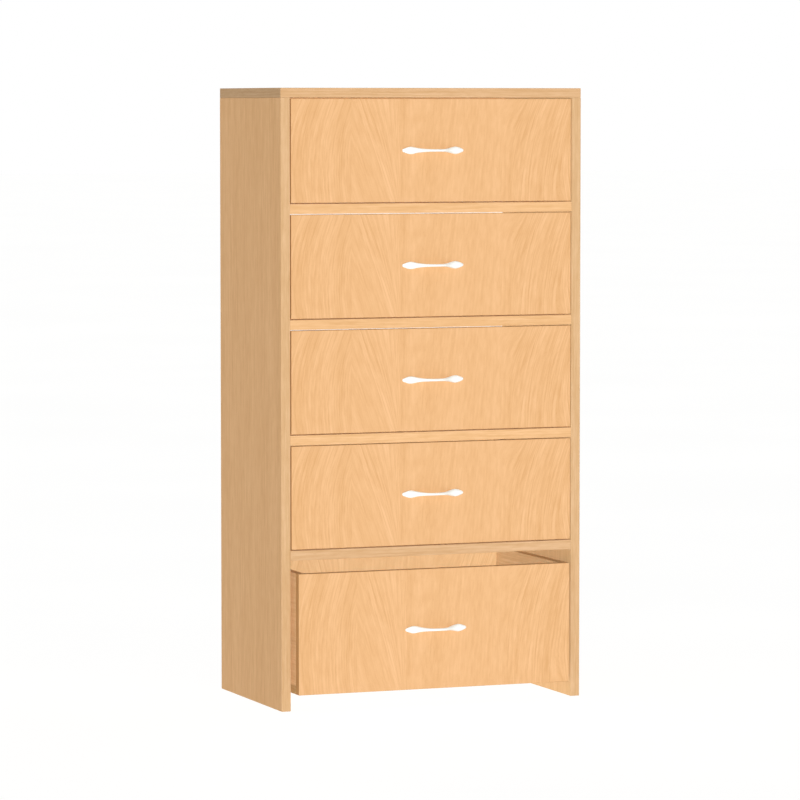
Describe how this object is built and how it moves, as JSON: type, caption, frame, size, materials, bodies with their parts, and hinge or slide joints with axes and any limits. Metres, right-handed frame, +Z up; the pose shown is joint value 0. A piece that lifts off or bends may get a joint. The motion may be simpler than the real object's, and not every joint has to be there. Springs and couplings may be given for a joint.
{
  "type": "tall chest of drawers",
  "caption": "Tall narrow chest of drawers in beech-effect board, with inset fronts, an open-topped bottom drawer, white bow handles and ball-bearing runners.",
  "frame": {"origin": "on the floor, under the middle of the whole object's box at rest", "axes": "+X to the right seen from the front, +Y to the back, +Z up"},
  "size_m": [0.6, 0.378, 1.15],
  "materials": {
    "beech_board": "satin beech-effect facing on chipboard",
    "back_board": "matt brown hardboard, faced white on the inside",
    "runner_steel": "bright zinc plate",
    "handle_white": "white satin lacquer"
  },
  "bodies": {
    "carcase": {"top_panel": "beech_board", "left_side_panel": "beech_board", "right_side_panel": "beech_board", "back_panel": "back_board", "rear_stretcher": "beech_board", "rear_batten": "beech_board", "divider_rail_1": "beech_board", "divider_rail_2": "beech_board", "divider_rail_3": "beech_board", "divider_rail_4": "beech_board", "cabinet_left_runner_1": "runner_steel", "cabinet_right_runner_1": "runner_steel", "cabinet_left_runner_2": "runner_steel", "cabinet_right_runner_2": "runner_steel", "cabinet_left_runner_3": "runner_steel", "cabinet_right_runner_3": "runner_steel", "cabinet_left_runner_4": "runner_steel", "cabinet_right_runner_4": "runner_steel", "cabinet_left_runner_5": "runner_steel", "cabinet_right_runner_5": "runner_steel"},
    "drawer_1": {"drawer_1_front": "beech_board", "drawer_1_left_side": "beech_board", "drawer_1_right_side": "beech_board", "drawer_1_back": "beech_board", "drawer_1_bottom": "beech_board", "drawer_1_handle": "handle_white", "drawer_1_left_runner": "runner_steel", "drawer_1_right_runner": "runner_steel"},
    "drawer_2": {"drawer_2_front": "beech_board", "drawer_2_left_side": "beech_board", "drawer_2_right_side": "beech_board", "drawer_2_back": "beech_board", "drawer_2_bottom": "beech_board", "drawer_2_handle": "handle_white", "drawer_2_left_runner": "runner_steel", "drawer_2_right_runner": "runner_steel"},
    "drawer_3": {"drawer_3_front": "beech_board", "drawer_3_left_side": "beech_board", "drawer_3_right_side": "beech_board", "drawer_3_back": "beech_board", "drawer_3_bottom": "beech_board", "drawer_3_handle": "handle_white", "drawer_3_left_runner": "runner_steel", "drawer_3_right_runner": "runner_steel"},
    "drawer_4": {"drawer_4_front": "beech_board", "drawer_4_left_side": "beech_board", "drawer_4_right_side": "beech_board", "drawer_4_back": "beech_board", "drawer_4_bottom": "beech_board", "drawer_4_handle": "handle_white", "drawer_4_left_runner": "runner_steel", "drawer_4_right_runner": "runner_steel"},
    "drawer_5": {"drawer_5_front": "beech_board", "drawer_5_left_side": "beech_board", "drawer_5_right_side": "beech_board", "drawer_5_back": "beech_board", "drawer_5_bottom": "beech_board", "drawer_5_handle": "handle_white", "drawer_5_left_runner": "runner_steel", "drawer_5_right_runner": "runner_steel"}
  },
  "joints": [
    {"name": "drawer_1_slide", "type": "slide", "parent": "carcase", "child": "drawer_1", "axis": [0, -1, 0], "range_m": [0, 0.185]},
    {"name": "drawer_2_slide", "type": "slide", "parent": "carcase", "child": "drawer_2", "axis": [0, -1, 0], "range_m": [0, 0.185]},
    {"name": "drawer_3_slide", "type": "slide", "parent": "carcase", "child": "drawer_3", "axis": [0, -1, 0], "range_m": [0, 0.185]},
    {"name": "drawer_4_slide", "type": "slide", "parent": "carcase", "child": "drawer_4", "axis": [0, -1, 0], "range_m": [0, 0.185]},
    {"name": "drawer_5_slide", "type": "slide", "parent": "carcase", "child": "drawer_5", "axis": [0, -1, 0], "range_m": [-0.016, 0.169]}
  ]
}
